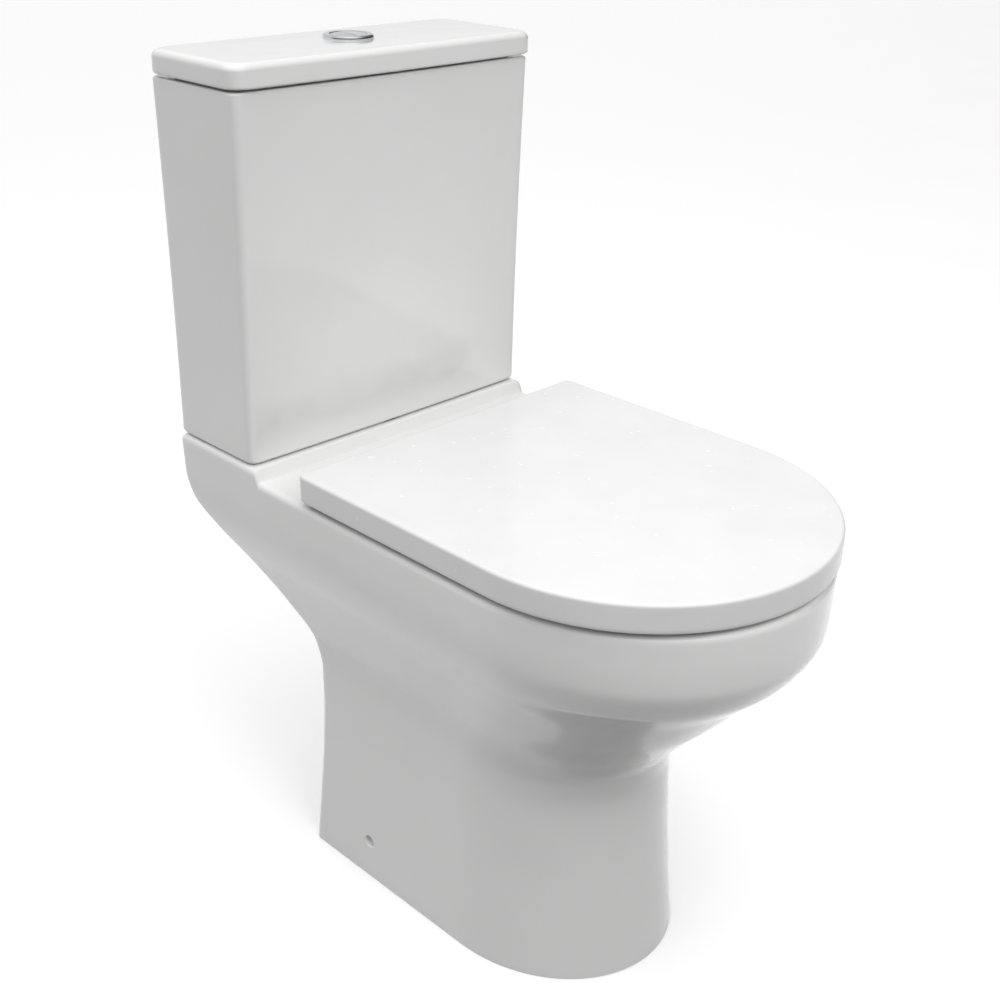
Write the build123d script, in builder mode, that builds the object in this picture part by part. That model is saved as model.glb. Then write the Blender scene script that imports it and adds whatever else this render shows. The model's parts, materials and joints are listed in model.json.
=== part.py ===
"""A close coupled toilet: pan, cistern with its flush and fill valves, dual flush button, seat and cover.

+Z is up and the toilet faces -Y.  The origin is on the floor, midway along the depth and the width.
Distances "from the wall" are measured forwards from the plane that the cistern backs onto.
"""
import os
from math import cos, sin, pi

from build123d import *

os.makedirs("parts", exist_ok=True)

# ---------------------------------------------------------------- driving dimensions, mm
overall_depth = 620.0
overall_width = 360.0
clearance = 0.3                 # between curved faces of pieces that move apart

pan_height = 454.0              # rim and seat deck
platform_height = 466.0         # where the cistern stands
china_wall = 11.0
deck_thickness = 14.0
recess_depth = 19.0             # of the doughnut washer's seat in the platform

tank_bottom = 467.0
tank_top = 810.0
tank_floor = 12.0
tank_wall = 10.0
lid_underside = 812.5
lid_top = 834.5
cistern_axis_depth = 64.0       # of the flush valve, from the wall

cover_bottom = 460.0
cover_top = 486.5
cover_rear = 194.0              # from the wall
seat_bottom = 462.5
seat_top = 478.0
hinge_depth = 205.0             # hinge axis, from the wall
hinge_height = 474.0
hinge_spacing = 154.0

flush_tail_radius = 28.8
inlet_thread_radius = 10.45     # half inch pipe thread
inlet_offset = 125.0            # fill valve from the middle of the cistern
coupling_bolt_offset = 82.0
outlet_height = 185.0           # centre of the soil outlet
outlet_radius = 51.0
fixing_hole_radius = 6.0


def from_wall(distance):
    """The y coordinate of a point so far forward of the wall."""
    return overall_depth / 2 - distance


flush_y = from_wall(cistern_axis_depth)
hinge_y = from_wall(hinge_depth)


# ---------------------------------------------------------------- shared shapes
def d_outline(half_width, rear, front, nose, corner):
    """A closed D in the current sketch: straight back and sides, half-ellipse nose.

    rear and front are distances from the wall, nose is the depth of the ellipse and
    corner is the radius of the two back corners.
    """
    back, nose_start = from_wall(rear), from_wall(front - nose)
    offset = corner * (1 - cos(pi / 4))
    with BuildLine() as outline:
        EllipticalCenterArc((0, nose_start), half_width, nose, start_angle=180, arc_size=180)
        Line((half_width, nose_start), (half_width, back - corner))
        ThreePointArc((half_width, back - corner), (half_width - offset, back - offset),
                      (half_width - corner, back))
        Line((half_width - corner, back), (corner - half_width, back))
        ThreePointArc((corner - half_width, back), (offset - half_width, back - offset),
                      (-half_width, back - corner))
        Line((-half_width, back - corner), (-half_width, nose_start))
    make_face(outline.edges())


def box_outline(half_width, rear, front, corner, bow, back_corner):
    """A closed rectangle with rounded corners, and a front that bows forward."""
    back, face = from_wall(rear), from_wall(front)
    front_cut = corner * (1 - cos(pi / 4))
    back_cut = back_corner * (1 - cos(pi / 4))
    side = face + bow + corner
    with BuildLine() as outline:
        Line((back_corner - half_width, back), (half_width - back_corner, back))
        ThreePointArc((half_width - back_corner, back), (half_width - back_cut, back - back_cut),
                      (half_width, back - back_corner))
        Line((half_width, back - back_corner), (half_width, side))
        ThreePointArc((half_width, side), (half_width - front_cut, face + bow + front_cut),
                      (half_width - corner, face + bow))
        ThreePointArc((half_width - corner, face + bow), (0, face), (corner - half_width, face + bow))
        ThreePointArc((corner - half_width, face + bow), (front_cut - half_width, face + bow + front_cut),
                      (-half_width, side))
        Line((-half_width, side), (-half_width, back - back_corner))
        ThreePointArc((-half_width, back - back_corner), (back_cut - half_width, back - back_cut),
                      (back_corner - half_width, back))
    make_face(outline.edges())


def monotone_curve(knots, values, at):
    """A smooth curve through the values that never overshoots them (monotone cubic)."""
    steps = [(high - low) / (right - left)
             for left, right, low, high in zip(knots, knots[1:], values, values[1:])]
    slopes = [2 * a * b / (a + b) if a * b > 0 else 0.0 for a, b in zip(steps, steps[1:])]
    slopes = [steps[0], *slopes, steps[-1]]
    index = max(i for i in range(len(steps)) if knots[i] <= at)
    span = knots[index + 1] - knots[index]
    t = (at - knots[index]) / span
    return (values[index] * (1 + 2 * t) * (1 - t) ** 2 + values[index + 1] * t * t * (3 - 2 * t)
            + span * (slopes[index] * t * (1 - t) ** 2 - slopes[index + 1] * t * t * (1 - t)))


def tube(x, y, low, high, outer, inner=0.0, mode=Mode.ADD):
    """An upright cylinder or tube between two heights, added to the current part."""
    with BuildSketch(Plane.XY.offset(low)) as ring:
        with Locations((x, y)):
            Circle(outer)
            if inner:
                Circle(inner, mode=Mode.SUBTRACT)
    extrude(ring.sketch, amount=high - low, mode=mode)


def hexagon(x, y, low, high, radius, hole=0.0):
    """An upright hexagonal nut between two heights; radius is to its corners."""
    with BuildSketch(Plane.XY.offset(low)) as nut:
        with Locations((x, y)):
            RegularPolygon(radius, 6)
            if hole:
                Circle(hole, mode=Mode.SUBTRACT)
    extrude(nut.sketch, amount=high - low)


def block(x_low, x_high, y_low, y_high, low, high, mode=Mode.ADD):
    """A rectangular block given by its limits."""
    with BuildSketch(Plane.XY.offset(low)) as base:
        with Locations(((x_low + x_high) / 2, (y_low + y_high) / 2)):
            Rectangle(x_high - x_low, y_high - y_low)
    extrude(base.sketch, amount=high - low, mode=mode)


def bar_along_x(x_low, x_high, y, z, radius, mode=Mode.ADD):
    """A round bar along X."""
    with BuildSketch(Plane(origin=(x_low, y, z), x_dir=(0, 1, 0), z_dir=(1, 0, 0))) as end:
        Circle(radius)
    extrude(end.sketch, amount=x_high - x_low, mode=mode)


def bar_along_y(x, y_low, y_high, z, radius, mode=Mode.ADD):
    """A round bar along Y."""
    with BuildSketch(Plane(origin=(x, y_low, z), x_dir=(1, 0, 0), z_dir=(0, 1, 0))) as end:
        Circle(radius)
    extrude(end.sketch, amount=y_high - y_low, mode=mode)


def elbow_pipe(points, radius, mode=Mode.ADD):
    """A round passage in the middle plane, as straight lengths joined by spheres.

    points are (distance from the wall, height).
    """
    places = [Vector(0, from_wall(depth), height) for depth, height in points]
    for start, end in zip(places, places[1:]):
        with BuildSketch(Plane(origin=start, x_dir=(1, 0, 0), z_dir=end - start)) as opening:
            Circle(radius)
        extrude(opening.sketch, amount=(end - start).length, mode=mode)
    for place in places[1:-1]:
        with Locations(place):
            Sphere(radius, mode=mode)


def finish(part, name):
    """Label a finished piece and write it."""
    part.part.label = name
    export_step(part.part, f"parts/{name}.step")


# ---------------------------------------------------------------- pan
# The outside as D-shaped sections: height, half width, rear, front, nose depth
pan_sections = [
    (0, 121, 116, 492, 142),        # foot on the floor
    (70, 119, 123, 484, 140),
    (140, 118, 130, 478, 138),
    (195, 118, 133, 475, 137),      # waist
    (225, 118, 133, 481, 141),
    (260, 122, 129, 506, 149),
    (300, 135, 104, 542, 160),
    (340, 151, 67, 576, 174),
    (375, 167, 30, 608, 188),
    (400, 175, 8, 619, 197),        # foot of the rim band
    (425, 178, 1, 620, 200),
    (pan_height, 179, 0, 620, 200),
]
rim_rounding = 6.0

# The bowl's inside as ellipses: height, half width, rear, front
bowl_sections = [
    (110, 34, 262, 330),
    (160, 40, 250, 352),
    (220, 58, 244, 410),
    (290, 88, 244, 502),
    (360, 112, 246, 556),
    (410, 121, 250, 570),
    (pan_height + 1, 122, 252, 572),
]
trap_radius = 36.0
spigot_start = 130.0                # from the wall
spigot_end = 84.0
trap_route = [(296, 130), (250, 118), (200, 238), (150, outlet_height), (spigot_end, outlet_height)]
channel_half_width = 46.0           # flush channel from the cistern to the bowl
channel_low = 392.0
inlet_recess_radius = 52.0
seat_hole_radius = 7.0
fixing_depth = 208.0                # floor fixing holes, from the wall
fixing_height = 45.0
hollow_top = pan_height - deck_thickness


def bowl_loft(margin):
    """Loft the bowl's ellipses, grown by a margin at the sides and below."""
    rings = []
    for height, half_width, rear, front in bowl_sections:
        lowest = height == bowl_sections[0][0]
        with BuildSketch(Plane.XY.offset(height - margin if lowest else height)) as ring:
            with Locations((0, from_wall((rear + front) / 2))):
                Ellipse(half_width + margin, (front - rear) / 2 + margin)
        rings.append(ring.sketch)
    loft(rings)


def pan_section(height):
    """The outside section at any height: half width, rear, front and nose depth."""
    heights, *columns = zip(*pan_sections)
    return [monotone_curve(heights, column, height) for column in columns]


with BuildPart() as pan_outside:
    slices = 30
    for index in range(slices + 1):
        height = pan_height * index / slices
        with BuildSketch(Plane.XY.offset(height)):
            d_outline(*pan_section(height), 10)
    loft(ruled=True)
    fillet(pan_outside.faces().sort_by(Axis.Z)[-1].edges(), rim_rounding)

with BuildPart() as pan_hollow:
    hollow_sections = [(-1, *pan_sections[0][1:])] + pan_sections[1:-1]
    hollow_sections.append((hollow_top, *pan_sections[-1][1:]))
    for height, half_width, rear, front, nose in hollow_sections:
        with BuildSketch(Plane.XY.offset(height)):
            d_outline(half_width - china_wall, rear - 40, front - china_wall, nose - china_wall, 10)
    loft(ruled=True)

with BuildPart() as bowl_outside:
    bowl_loft(china_wall)
    add(pan_outside.part, mode=Mode.INTERSECT)

with BuildPart() as bowl_inside:
    bowl_loft(0)

with BuildPart() as waterway_outside:
    block(-channel_half_width, channel_half_width, from_wall(280), from_wall(18),
          channel_low, pan_height - 4)
    elbow_pipe(trap_route, trap_radius + china_wall)
    bar_along_y(0, from_wall(spigot_start), from_wall(spigot_end), outlet_height, outlet_radius)

with BuildPart() as casting:
    add(pan_outside.part)
    add(pan_hollow.part, mode=Mode.SUBTRACT)
    add(bowl_outside.part)
    add(waterway_outside.part)
    # rear platform for the cistern, with a rounded front step
    with BuildSketch(Plane.XY.offset(pan_height - 8)):
        box_outline(177.5, 1, 130, 12, 2, 8)
    with BuildSketch(Plane.XY.offset(platform_height)):
        box_outline(175, 2, 124, 12, 2, 8)
    loft()
    add(bowl_inside.part, mode=Mode.SUBTRACT)
    elbow_pipe(trap_route, trap_radius, mode=Mode.SUBTRACT)
    bar_along_y(0, from_wall(spigot_start + 2), from_wall(spigot_end - 1), outlet_height, 42,
                mode=Mode.SUBTRACT)
    block(-channel_half_width + 10, channel_half_width - 10, from_wall(285), from_wall(28),
          channel_low + 10, pan_height - 20, mode=Mode.SUBTRACT)
    # flush inlet with its recess for the doughnut washer
    tube(0, flush_y, pan_height - 25, platform_height + 1, 34, mode=Mode.SUBTRACT)
    tube(0, flush_y, platform_height - recess_depth, platform_height + 1, inlet_recess_radius,
         mode=Mode.SUBTRACT)
    # coupling bolt holes, inlet cut-out, seat holes and floor fixing holes
    for side in (-1, 1):
        tube(side * coupling_bolt_offset, flush_y, 400, platform_height + 1, 6, mode=Mode.SUBTRACT)
        tube(side * inlet_offset, flush_y, 400, platform_height + 1, 22, mode=Mode.SUBTRACT)
        tube(side * hinge_spacing / 2, hinge_y, 400, platform_height + 1, seat_hole_radius,
             mode=Mode.SUBTRACT)
    bar_along_x(-150, 150, from_wall(fixing_depth), fixing_height, fixing_hole_radius,
                mode=Mode.SUBTRACT)

# The casting as the four clay parts that are joined before it is fired
with BuildPart() as above_hollow:
    block(-overall_width, overall_width, from_wall(overall_depth + 10), from_wall(-10),
          hollow_top, platform_height + 10)

with BuildPart() as pan_deck:
    add(casting.part)
    add(above_hollow.part, mode=Mode.INTERSECT)
finish(pan_deck, "pan_deck")

with BuildPart() as pan_bowl:
    add(casting.part)
    add(above_hollow.part, mode=Mode.SUBTRACT)
    add(bowl_outside.part, mode=Mode.INTERSECT)
finish(pan_bowl, "pan_bowl")

with BuildPart() as pan_trapway:
    add(casting.part)
    add(above_hollow.part, mode=Mode.SUBTRACT)
    add(bowl_outside.part, mode=Mode.SUBTRACT)
    add(waterway_outside.part, mode=Mode.INTERSECT)
finish(pan_trapway, "pan_trapway")

with BuildPart() as pan_shroud:
    add(casting.part)
    add(above_hollow.part, mode=Mode.SUBTRACT)
    add(bowl_outside.part, mode=Mode.SUBTRACT)
    add(waterway_outside.part, mode=Mode.SUBTRACT)
finish(pan_shroud, "pan_shroud")

# ---------------------------------------------------------------- cistern
# Outside sections: height, half width, front, corner, bow
tank_low = (tank_bottom, 176.5, 121.5, 9, 1.5)
tank_high = (tank_top, 177.0, 132, 9, 3)
back_trim = 3.0                 # cut off the loft, to leave a flat back against the wall


def tank_section(section, rear, margin, lift=0.0):
    """The cistern's section at one end, drawn in by a margin and lifted."""
    height, half_width, front, corner, bow = section
    with BuildSketch(Plane.XY.offset(height + lift)) as outline:
        box_outline(half_width - margin, rear, front - margin, corner, bow, corner)
    return outline.sketch


with BuildPart() as cistern_tank:
    loft([tank_section(tank_low, -back_trim, 0), tank_section(tank_high, -back_trim, 0)])
    fillet(cistern_tank.faces().sort_by(Axis.Z)[0].edges(), 4)
    block(-overall_width, overall_width, from_wall(0), from_wall(-10), tank_bottom - 1, tank_top + 1,
          mode=Mode.SUBTRACT)
    loft([tank_section(tank_low, tank_wall, tank_wall, tank_floor),
          tank_section(tank_high, tank_wall, tank_wall, 1)], mode=Mode.SUBTRACT)
    tube(0, flush_y, tank_bottom - 1, 490, 31.5, mode=Mode.SUBTRACT)
    tube(inlet_offset, flush_y, tank_bottom - 1, 490, 11.5, mode=Mode.SUBTRACT)
    for side in (-1, 1):
        tube(side * coupling_bolt_offset, flush_y, tank_bottom - 1, 490, 5, mode=Mode.SUBTRACT)
        bar_along_y(side * 100, from_wall(20), from_wall(-5), 740, 4, mode=Mode.SUBTRACT)
finish(cistern_tank, "cistern_tank")

lid_half_width = 179.5
lid_front = 136.5
button_hole_radius = 20.0

with BuildPart() as cistern_lid:
    with BuildSketch(Plane.XY.offset(lid_underside)):
        box_outline(lid_half_width, 0, lid_front, 16, 3, 16)
    extrude(amount=lid_top - lid_underside)
    fillet(cistern_lid.faces().sort_by(Axis.Z)[-1].edges(), 7)
    fillet(cistern_lid.faces().sort_by(Axis.Z)[0].edges(), 3)
    # hollow underside, with a lip that drops into the tank
    with BuildSketch(Plane.XY.offset(lid_underside - 12)):
        box_outline(163, 13, 118.5, 12, 1, 12)
    extrude(amount=14)
    with BuildSketch(Plane.XY.offset(lid_underside - 13)):
        box_outline(156, 20, 111.5, 6, 1, 6)
    extrude(amount=25, mode=Mode.SUBTRACT)
    tube(0, flush_y, 800, lid_top + 1, button_hole_radius, mode=Mode.SUBTRACT)
finish(cistern_lid, "cistern_lid")

# ---------------------------------------------------------------- dual flush button
bezel_radius = 24.0
barrel_radius = 19.3
barrel_bore = 17.5
barrel_low = 795.0
button_radius = 17.1
button_top = lid_top + 4.5
button_cap = 5.0
button_split = 3.0              # the parting line is off centre: the full button is larger
rod_offset = 10.0
rod_radius = 2.5
rod_foot = 739.6
spring_radius = 4.6

with BuildPart() as button_bezel:
    tube(0, flush_y, lid_top, lid_top + 4, bezel_radius, barrel_bore)
    fillet(button_bezel.faces().sort_by(Axis.Z)[-1].outer_wire().edges(), 2.5)
    tube(0, flush_y, barrel_low, lid_top, barrel_radius, barrel_bore)
    # floor of the barrel that guides the push rods and carries the springs
    tube(0, flush_y, barrel_low, barrel_low + 3, barrel_bore + 0.5)
    for side in (-1, 1):
        tube(side * rod_offset, flush_y, barrel_low - 1, barrel_low + 4, rod_radius + clearance,
             mode=Mode.SUBTRACT)
finish(button_bezel, "button_bezel")

with BuildPart() as bezel_lock_nut:
    hexagon(0, flush_y, 812, 822.5, 30, barrel_radius + 0.1)
finish(bezel_lock_nut, "bezel_lock_nut")


def flush_button(side, half_gap):
    """One button cap, a part of a disc cut by the parting line, with a socket for its rod."""
    with BuildSketch(Plane.XY.offset(button_top - button_cap)) as cap:
        with Locations((0, flush_y)):
            Circle(button_radius)
        with Locations((-button_split - side * (50 - half_gap), flush_y)):
            Rectangle(100, 60, mode=Mode.SUBTRACT)
    extrude(cap.sketch, amount=button_cap)


def push_rod(side):
    tube(side * rod_offset, flush_y, rod_foot, button_top - button_cap, rod_radius)
    tube(side * rod_offset, flush_y, button_top - button_cap - 3, button_top - button_cap, 4.2)


def button_spring(side):
    """A compression spring between the barrel floor and the button, as a coiled wire."""
    low, high = barrel_low + 3, button_top - button_cap - 3
    with BuildLine() as coil:
        Helix(pitch=(high - low - 1.2) / 6, height=high - low - 1.2, radius=spring_radius - 0.6,
              center=(side * rod_offset, flush_y, low + 0.6))
    start = Plane(origin=(side * rod_offset + spring_radius - 0.6, flush_y, low + 0.6),
                  x_dir=(1, 0, 0), z_dir=(0, 1, 0))
    with BuildSketch(start) as wire:
        Circle(0.5)
    sweep(wire.sketch, path=coil.wires()[0], is_frenet=True)


for side, name in ((1, "full_flush"), (-1, "half_flush")):
    with BuildPart() as button:
        flush_button(side, 0.4)
        top_edges = button.faces().sort_by(Axis.Z)[-1].edges()
        fillet(top_edges, 1.0)
    finish(button, f"{name}_button")
    with BuildPart() as rod:
        push_rod(side)
    finish(rod, f"{name}_push_rod")
    with BuildPart() as spring:
        button_spring(side)
    finish(spring, f"{name}_spring")

# ---------------------------------------------------------------- flush valve
tank_inside = tank_bottom + tank_floor
valve_seat = tank_inside + 9
tower_top = 700.0
stem_radius = 15.0
rocker_axis = 27.0
rocker_height = 735.5
yoke_reach = 46.0
yoke_low = 739.0

with BuildPart() as flush_valve_washer:
    tube(0, flush_y, tank_inside, tank_inside + 3, 38, flush_tail_radius + 0.1)
finish(flush_valve_washer, "flush_valve_washer")

with BuildPart() as flush_valve_base:
    tube(0, flush_y, tank_inside + 3, valve_seat, 40, 24)
    tube(0, flush_y, 432, tank_inside + 3, flush_tail_radius, 24)
    # cage ribs round the valve opening, and the collar they carry
    for turn in range(4):
        angle = pi / 4 + turn * pi / 2
        tube(34 * cos(angle), flush_y + 34 * sin(angle), valve_seat, 530, 4)
    tube(0, flush_y, 526, 534, 39, 29)
finish(flush_valve_base, "flush_valve_base")

with BuildPart() as flush_valve_tower:
    tube(0, flush_y, 534, tower_top, 33, 30)
    tube(0, flush_y, tower_top - 4, tower_top, 33, stem_radius + 0.5)
    # two pairs of cheeks that carry the rocker pins
    for side in (-1, 1):
        for face in (-1, 1):
            block(side * rocker_axis - 5, side * rocker_axis + 5,
                  flush_y + face * 7.5 - 1.5, flush_y + face * 7.5 + 1.5, tower_top - 1, 741)
    for side in (-1, 1):
        bar_along_y(side * rocker_axis, flush_y - 12, flush_y + 12, rocker_height, 2.05,
                    mode=Mode.SUBTRACT)
finish(flush_valve_tower, "flush_valve_tower")

with BuildPart() as rocker_pins:
    for side in (-1, 1):
        bar_along_y(side * rocker_axis, flush_y - 9, flush_y + 9, rocker_height, 2)
finish(rocker_pins, "rocker_pins")

with BuildPart() as valve_stem:
    tube(0, flush_y, valve_seat + 4, 719, stem_radius, stem_radius - 2)
    tube(0, flush_y, valve_seat + 4, valve_seat + 10, 27, stem_radius - 2)
    # ballast cup, then the yoke that the rocker lifts
    tube(0, flush_y, 560, 610, 27, stem_radius - 1)
    for face in (-1, 1):
        block(-4, 4, flush_y + face * 12.5 - 1.5, flush_y + face * 12.5 + 1.5, 712, yoke_low + 4)
        block(-yoke_reach, yoke_reach, flush_y + face * 12.5 - 1.5, flush_y + face * 12.5 + 1.5,
              yoke_low, yoke_low + 4)
    for side in (-1, 1):
        block(side * yoke_reach - 3 * (1 + side), side * yoke_reach + 3 * (1 - side),
              flush_y - 14, flush_y + 14, yoke_low, yoke_low + 4)
finish(valve_stem, "valve_stem")

with BuildPart() as valve_seal:
    tube(0, flush_y, valve_seat, valve_seat + 4, 29, stem_radius - 2)
finish(valve_seal, "valve_seal")


def rocker(side, outer_top):
    """A rocker on its pin: the rod presses its inner end, its outer end lifts."""
    centre = side * rocker_axis
    inner, outer = side * (rod_offset - 3), side * (yoke_reach - 0.5)
    block(min(centre, inner), max(centre, inner), flush_y - 4.5, flush_y + 4.5,
          rocker_height - 2.5, rocker_height + 2.5)
    block(min(centre, outer), max(centre, outer), flush_y - 4.5, flush_y + 4.5,
          rocker_height - 2.5, outer_top)
    bar_along_y(centre, flush_y - 4.5, flush_y + 4.5, rocker_height, 4.5)
    bar_along_y(centre, flush_y - 5, flush_y + 5, rocker_height, 2.05, mode=Mode.SUBTRACT)


with BuildPart() as full_flush_rocker:
    rocker(1, rocker_height + 2.4)
finish(full_flush_rocker, "full_flush_rocker")

with BuildPart() as half_flush_rocker:
    rocker(-1, rocker_height - 0.5)
    block(-yoke_reach, -rocker_axis - 5, flush_y - 6, flush_y + 6, rocker_height - 6,
          rocker_height + 8, mode=Mode.SUBTRACT)
finish(half_flush_rocker, "half_flush_rocker")

with BuildPart() as flush_valve_nut:
    hexagon(0, flush_y, 453, tank_bottom, 37, flush_tail_radius + 0.1)
finish(flush_valve_nut, "flush_valve_nut")

with BuildPart() as doughnut_washer:
    tube(0, flush_y, platform_height - recess_depth, tank_bottom, 48, flush_tail_radius + 0.1)
    # room for the flush valve nut
    tube(0, flush_y, 452.9, tank_bottom + 1, 38, mode=Mode.SUBTRACT)
finish(doughnut_washer, "doughnut_washer")

# ---------------------------------------------------------------- fill valve
inlet_tail_low = 428.0
thread_groove = 453.0
riser_radius = 12.0
float_low = 600.0
float_high = 672.0
head_low = 702.0
lever_height = 728.0
lever_pivot = inlet_offset - 8
link_offset = inlet_offset - 48

with BuildPart() as fill_valve_washer:
    tube(inlet_offset, flush_y, tank_inside, tank_inside + 3, 17, inlet_thread_radius + 0.1)
finish(fill_valve_washer, "fill_valve_washer")

with BuildPart() as fill_valve_body:
    # the threaded tail below a run-out groove, then the thread through the nut and the tank
    tube(inlet_offset, flush_y, inlet_tail_low, thread_groove, inlet_thread_radius, 6)
    tube(inlet_offset, flush_y, thread_groove - 1, thread_groove + 3, inlet_thread_radius - 1, 6)
    tube(inlet_offset, flush_y, thread_groove + 2, tank_inside + 3, inlet_thread_radius, 6)
    tube(inlet_offset, flush_y, tank_inside + 3, tank_inside + 9, 17, 6)
    tube(inlet_offset, flush_y, tank_inside + 3, head_low, riser_radius, 9)
finish(fill_valve_body, "fill_valve_body")

with BuildPart() as inlet_filter:
    tube(inlet_offset, flush_y, 434, 462, 5.9, 4.9)
    tube(inlet_offset, flush_y, 460, 462, 5.9)
finish(inlet_filter, "inlet_filter")

with BuildPart() as fill_valve_nut:
    hexagon(inlet_offset, flush_y, 455, tank_bottom, 17.5, inlet_thread_radius + 0.1)
finish(fill_valve_nut, "fill_valve_nut")

with BuildPart() as fill_valve_head:
    tube(inlet_offset, flush_y, head_low, head_low + 16, 21)
    fillet(fill_valve_head.faces().sort_by(Axis.Z)[-1].edges(), 3)
    for face in (-1, 1):
        block(lever_pivot - 5, lever_pivot + 5, flush_y + face * 7.5 - 1.5,
              flush_y + face * 7.5 + 1.5, head_low + 15, lever_height + 6)
    bar_along_y(lever_pivot, flush_y - 12, flush_y + 12, lever_height, 2.05, mode=Mode.SUBTRACT)
finish(fill_valve_head, "fill_valve_head")

with BuildPart() as float_lever_pin:
    bar_along_y(lever_pivot, flush_y - 9, flush_y + 9, lever_height, 2)
finish(float_lever_pin, "float_lever_pin")

with BuildPart() as float_lever:
    block(link_offset - 12, lever_pivot, flush_y - 4.5, flush_y + 4.5, lever_height - 2,
          lever_height + 2)
    bar_along_y(lever_pivot, flush_y - 4.5, flush_y + 4.5, lever_height, 4.5)
    bar_along_y(lever_pivot, flush_y - 5, flush_y + 5, lever_height, 2.05, mode=Mode.SUBTRACT)
    block(link_offset - 8, link_offset + 6, flush_y - 2.3, flush_y + 2.3, lever_height - 3,
          lever_height + 3, mode=Mode.SUBTRACT)
finish(float_lever, "float_lever")

with BuildPart() as fill_valve_float:
    tube(inlet_offset, flush_y, float_low, float_high, 34, riser_radius + 1.5)
    fillet(fill_valve_float.faces().sort_by(Axis.Z)[-1].outer_wire().edges(), 4)
    block(link_offset - 6, inlet_offset - 30, flush_y - 6, flush_y + 6, float_high - 12, float_high - 4)
finish(fill_valve_float, "fill_valve_float")

with BuildPart() as float_link_rod:
    tube(link_offset, flush_y, float_high - 4, lever_height + 8, 1.75)
    tube(link_offset, flush_y, lever_height + 3.5, lever_height + 8, 3.8)
finish(float_link_rod, "float_link_rod")

# ---------------------------------------------------------------- cistern to pan fixings
with BuildPart() as coupling_bolts:
    for side in (-1, 1):
        tube(side * coupling_bolt_offset, flush_y, 400, tank_inside + 4, 4)
        hexagon(side * coupling_bolt_offset, flush_y, tank_inside + 4, tank_inside + 9.5, 7.5)
finish(coupling_bolts, "coupling_bolts")

with BuildPart() as coupling_rubber_washers:
    for side in (-1, 1):
        tube(side * coupling_bolt_offset, flush_y, tank_inside, tank_inside + 4, 12, 4.1)
finish(coupling_rubber_washers, "coupling_rubber_washers")

with BuildPart() as coupling_steel_washers:
    for side in (-1, 1):
        tube(side * coupling_bolt_offset, flush_y, 438, 440, 11, 4.1)
finish(coupling_steel_washers, "coupling_steel_washers")

with BuildPart() as coupling_wing_nuts:
    for side in (-1, 1):
        x = side * coupling_bolt_offset
        tube(x, flush_y, 428, 438, 7.5)
        block(x - 17, x + 17, flush_y - 1.5, flush_y + 1.5, 424, 434)
        tube(x, flush_y, 423, 439, 4.1, mode=Mode.SUBTRACT)
finish(coupling_wing_nuts, "coupling_wing_nuts")

# ---------------------------------------------------------------- seat and cover
cover_wall = 4.2
cover_plate = 4.8
nose_cover = 184.0
seat_rear = 222.0
seat_inset = 5.5
post_half_width = 11.0
post_reach = 6.0
pin_radius = 3.0
lug_in = 24.0                   # from the middle of a hinge post to the middle of a lug
notch_half_width = 32.0
running = 0.05                  # radial clearance of the hinge pins in the seat and cover lugs


def post_centres():
    return [-hinge_spacing / 2, hinge_spacing / 2]


def lug(x_middle, roof, reach):
    """A hinge eye round the axis, 12 wide, joined to the seat or cover above and in front."""
    bar_along_x(x_middle - 6, x_middle + 6, hinge_y, hinge_height, post_reach)
    block(x_middle - 6, x_middle + 6, hinge_y - reach, hinge_y, roof - 6, roof)


with BuildPart() as seat_cover:
    with BuildSketch(Plane.XY.offset(cover_bottom)):
        d_outline(overall_width / 2, cover_rear, overall_depth, nose_cover, 7)
    extrude(amount=cover_top - cover_bottom)
    fillet(seat_cover.faces().sort_by(Axis.Z)[-1].edges(), 4)
    with BuildSketch(Plane.XY.offset(cover_bottom - 1)):
        d_outline(overall_width / 2 - cover_wall, cover_rear + cover_wall, overall_depth - cover_wall,
                  nose_cover - cover_wall, 3)
    extrude(amount=cover_top - cover_plate - cover_bottom + 1, mode=Mode.SUBTRACT)
    for centre in post_centres():
        block(centre - notch_half_width, centre + notch_half_width, hinge_y, from_wall(cover_rear) + 5,
              cover_bottom - 1, cover_top - cover_plate, mode=Mode.SUBTRACT)
        inner = centre - lug_in if centre > 0 else centre + lug_in
        lug(inner, cover_top - cover_plate + 1, 5)
        bar_along_x(centre - 40, centre + 40, hinge_y, hinge_height, pin_radius + running,
                    mode=Mode.SUBTRACT)
finish(seat_cover, "seat_cover")

with BuildPart() as seat_ring:
    with BuildSketch(Plane.XY.offset(seat_bottom)):
        d_outline(overall_width / 2 - seat_inset, seat_rear, overall_depth - seat_inset,
                  nose_cover - seat_inset, 12)
        with Locations((0, from_wall(412))):
            Ellipse(107, 143, mode=Mode.SUBTRACT)
    extrude(amount=seat_top - seat_bottom)
    fillet(seat_ring.faces().sort_by(Axis.Z)[-1].edges(), 5)
    for centre in post_centres():
        outer = centre + lug_in if centre > 0 else centre - lug_in
        bar_along_x(outer - 6, outer + 6, hinge_y, hinge_height, post_reach)
        block(outer - 6, outer + 6, from_wall(seat_rear + 8), hinge_y - 2, hinge_height - 6,
              hinge_height + 3)
        bar_along_x(outer - 8, outer + 8, hinge_y, hinge_height, pin_radius + running,
                    mode=Mode.SUBTRACT)
finish(seat_ring, "seat_ring")

with BuildPart() as seat_bumpers:
    for x, depth in ((-148, 300), (148, 300), (-112, 545), (112, 545)):
        tube(x, from_wall(depth), pan_height, seat_bottom, 9)
finish(seat_bumpers, "seat_bumpers")

with BuildPart() as cover_bumpers:
    for x, depth in ((-140, 330), (140, 330), (-80, 577), (80, 577)):
        tube(x, from_wall(depth), seat_top, cover_top - cover_plate, 6)
finish(cover_bumpers, "cover_bumpers")

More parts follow.
